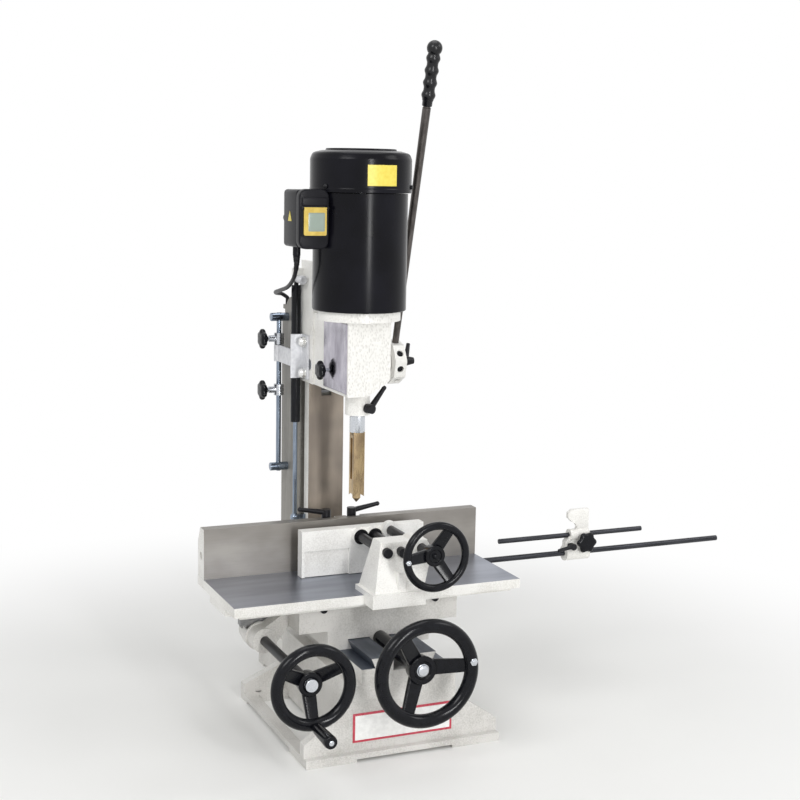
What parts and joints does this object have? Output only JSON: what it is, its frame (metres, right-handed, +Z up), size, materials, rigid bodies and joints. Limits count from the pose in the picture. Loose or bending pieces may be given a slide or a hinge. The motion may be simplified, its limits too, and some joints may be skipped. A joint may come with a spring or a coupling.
{
  "type": "benchtop mortiser",
  "caption": "Benchtop hollow-chisel mortiser: cast base with cross slides, fence and vise, column with a lever-fed sliding head, vertical motor over a square chisel, and hand wheels.",
  "frame": {"origin": "on the bench plane, straight below the chisel and motor axis, at the foot of the cross web of the base", "axes": "+X to the operator's right, +Y back toward the column, +Z up"},
  "size_m": [1.0115, 0.839, 1.1385],
  "materials": {
    "cast_white": "satin",
    "cast_hammer": "rough",
    "machined_iron": "satin",
    "column_iron": "satin",
    "motor_black": "gloss",
    "black_plastic": "gloss",
    "black_oxide": "satin",
    "zinc": "polished",
    "steel": "satin",
    "bronze": "satin",
    "cord_pvc": "matte",
    "copper_winding": "matte",
    "polished_plate": "polished",
    "tool_steel": "satin",
    "green_plastic": "gloss",
    "yellow_plastic": "gloss",
    "grip_plastic": "satin"
  },
  "bodies": {
    "frame": {"base_casting": "cast_white", "column": "column_iron", "column_rack": "steel", "column_bolts": "steel", "depth_rod": "zinc", "strut_rod": "steel", "cross_feed_nut": "bronze", "cord_drop": "cord_pvc", "cord_run": "cord_pvc", "cord_coil": "cord_pvc", "plug": "cord_pvc"},
    "head": {"head_casting": "cast_hammer", "keeper_strips": "machined_iron", "stop_arm": "zinc", "head_fasteners": "zinc", "strut_cylinder": "black_oxide", "motor_shell": "motor_black", "stator": "copper_winding", "motor_bearings": "steel", "fan_cover": "motor_black", "switch_box": "black_plastic", "chisel": "tool_steel"},
    "rotor": {"rotor_shaft": "steel", "fan": "black_plastic", "chuck": "steel", "drill_bit": "tool_steel"},
    "lever": {"pinion_shaft": "steel", "lever_hub": "cast_white", "lever_bar": "black_oxide", "lever_grip": "grip_plastic"},
    "hub_clamp": {"hub_clamp_knob": "black_oxide"},
    "door": {"chuck_door": "polished_plate"},
    "door_screw": {"door_knob": "black_plastic"},
    "chisel_lock": {"chisel_clamp": "black_oxide"},
    "upper_stop": {"upper_collar": "zinc"},
    "lower_stop": {"lower_collar": "zinc"},
    "upper_stop_screw": {"upper_collar_knob": "black_plastic"},
    "lower_stop_screw": {"lower_collar_knob": "black_plastic"},
    "saddle_slide": {"saddle": "cast_white", "saddle_gib": "machined_iron", "feed_bracket": "cast_white"},
    "cross_handwheel": {"cross_wheel": "black_plastic"},
    "feed_handwheel": {"feed_wheel": "black_plastic", "feed_shaft": "black_oxide"},
    "crank": {"crank_grip": "black_plastic"},
    "table_slide": {"table": "machined_iron", "table_rack": "steel", "fence": "machined_iron", "vise_body": "cast_white", "stop_long_rod": "black_oxide"},
    "jaw": {"vise_jaw": "cast_white"},
    "vise_handwheel": {"vise_wheel": "black_plastic"},
    "fence_lock_left": {"fence_lever_left": "black_oxide"},
    "fence_lock_right": {"fence_lever_right": "black_oxide"},
    "work_stop": {"stop_bracket": "cast_white"},
    "stop_finger": {"stop_finger_rod": "black_oxide"},
    "work_stop_screw": {"stop_knob": "black_plastic"},
    "work_stop_clamp": {"stop_lever": "black_oxide"},
    "rocker": {"switch_rocker": "green_plastic"},
    "flap": {"switch_flap": "yellow_plastic"}
  },
  "joints": [
    {"name": "head_slide", "type": "slide", "parent": "frame", "child": "head", "axis": [0, 0, 1], "range_m": [-0.041, 0], "stiffness_N_per_m": 400, "springref_m": 0.9, "deforming": ["cord_drop"]},
    {"name": "lever_turn", "type": "hinge", "parent": "head", "child": "lever", "pos_m": [0.118, 0.127, 0.588], "axis": [1, 0, 0], "range_deg": [0, 94]},
    {"name": "rotor_spin", "type": "hinge", "parent": "head", "child": "rotor", "pos_m": [0, 0, 0.8], "axis": [0, 0, 1], "continuous": true},
    {"name": "hub_clamp_turn", "type": "hinge", "parent": "lever", "child": "hub_clamp", "pos_m": [0.14, 0.127, 0.588], "axis": [1, 0, 0], "range_deg": [-90, 90]},
    {"name": "door_hinge", "type": "hinge", "parent": "head", "child": "door", "pos_m": [-0.0362, -0.0415, 0.617], "axis": [0, 0, 1], "range_deg": [0, 105]},
    {"name": "door_knob_turn", "type": "hinge", "parent": "door", "child": "door_screw", "pos_m": [-0.045, 0.045, 0.589], "axis": [1, 0, 0], "continuous": true},
    {"name": "chisel_lock_turn", "type": "hinge", "parent": "head", "child": "chisel_lock", "pos_m": [0.01124, -0.0278, 0.531], "axis": [0.3746, -0.9272, 0], "range_deg": [-90, 0]},
    {"name": "upper_stop_slide", "type": "slide", "parent": "frame", "child": "upper_stop", "axis": [0, 0, 1], "range_m": [0, 0.018]},
    {"name": "lower_stop_slide", "type": "slide", "parent": "frame", "child": "lower_stop", "axis": [0, 0, 1], "range_m": [-0.12, 0]},
    {"name": "upper_stop_knob_turn", "type": "hinge", "parent": "upper_stop", "child": "upper_stop_screw", "pos_m": [-0.09, 0.23, 0.623], "axis": [1, 0, 0], "continuous": true},
    {"name": "lower_stop_knob_turn", "type": "hinge", "parent": "lower_stop", "child": "lower_stop_screw", "pos_m": [-0.09, 0.23, 0.53], "axis": [1, 0, 0], "continuous": true},
    {"name": "cross_slide", "type": "slide", "parent": "frame", "child": "saddle_slide", "axis": [0, 1, 0], "range_m": [-0.075, 0.05]},
    {"name": "cross_wheel_turn", "type": "hinge", "parent": "saddle_slide", "child": "cross_handwheel", "pos_m": [0, -0.2, 0.1615], "axis": [0, 1, 0], "range_deg": [-9000, 6000]},
    {"name": "table_traverse", "type": "slide", "parent": "saddle_slide", "child": "table_slide", "axis": [1, 0, 0], "range_m": [-0.15, 0.02]},
    {"name": "feed_wheel_turn", "type": "hinge", "parent": "saddle_slide", "child": "feed_handwheel", "pos_m": [-0.184, -0.2, 0.1615], "axis": [0, 1, 0], "range_deg": [-540, 80]},
    {"name": "crank_spin", "type": "hinge", "parent": "feed_handwheel", "child": "crank", "pos_m": [-0.184, -0.34, 0.1035], "axis": [0, 1, 0], "continuous": true},
    {"name": "jaw_slide", "type": "slide", "parent": "table_slide", "child": "jaw", "axis": [0, 1, 0], "range_m": [-0.06, 0.028]},
    {"name": "vise_wheel_turn", "type": "hinge", "parent": "jaw", "child": "vise_handwheel", "pos_m": [0.0455, -0.15, 0.324], "axis": [0, 1, 0], "range_deg": [-7200, 3400]},
    {"name": "fence_lock_left_turn", "type": "hinge", "parent": "table_slide", "child": "fence_lock_left", "pos_m": [-0.04, 0.039, 0.3], "axis": [0, 0, 1], "range_deg": [-40, 40]},
    {"name": "fence_lock_right_turn", "type": "hinge", "parent": "table_slide", "child": "fence_lock_right", "pos_m": [0.007, 0.039, 0.3], "axis": [0, 0, 1], "range_deg": [-40, 40]},
    {"name": "work_stop_slide", "type": "slide", "parent": "table_slide", "child": "work_stop", "axis": [1, 0, 0], "range_m": [-0.115, 0.25]},
    {"name": "stop_finger_slide", "type": "slide", "parent": "work_stop", "child": "stop_finger", "axis": [1, 0, 0], "range_m": [-0.12, 0.12]},
    {"name": "work_stop_knob_turn", "type": "hinge", "parent": "work_stop", "child": "work_stop_screw", "pos_m": [0.446, -0.018, 0.262], "axis": [0, 1, 0], "continuous": true},
    {"name": "work_stop_lever_turn", "type": "hinge", "parent": "work_stop", "child": "work_stop_clamp", "pos_m": [0.418, -0.015, 0.256], "axis": [0, 1, 0], "range_deg": [-25, 60]},
    {"name": "rocker_tilt", "type": "hinge", "parent": "head", "child": "rocker", "pos_m": [-0.096, -0.032, 0.843], "axis": [1, 0, 0], "range_deg": [-8, 8]},
    {"name": "flap_lift", "type": "hinge", "parent": "head", "child": "flap", "pos_m": [-0.096, -0.045, 0.864], "axis": [-1, 0, 0], "range_deg": [0, 110]}
  ],
  "couplings": [
    {"joint": "lever_turn", "follows": "head_slide", "rad_per_m": -40},
    {"joint": "cross_wheel_turn", "follows": "cross_slide", "rad_per_m": 1256.6},
    {"joint": "feed_wheel_turn", "follows": "table_traverse", "rad_per_m": 62.5},
    {"joint": "vise_wheel_turn", "follows": "jaw_slide", "rad_per_m": 1256.6}
  ]
}
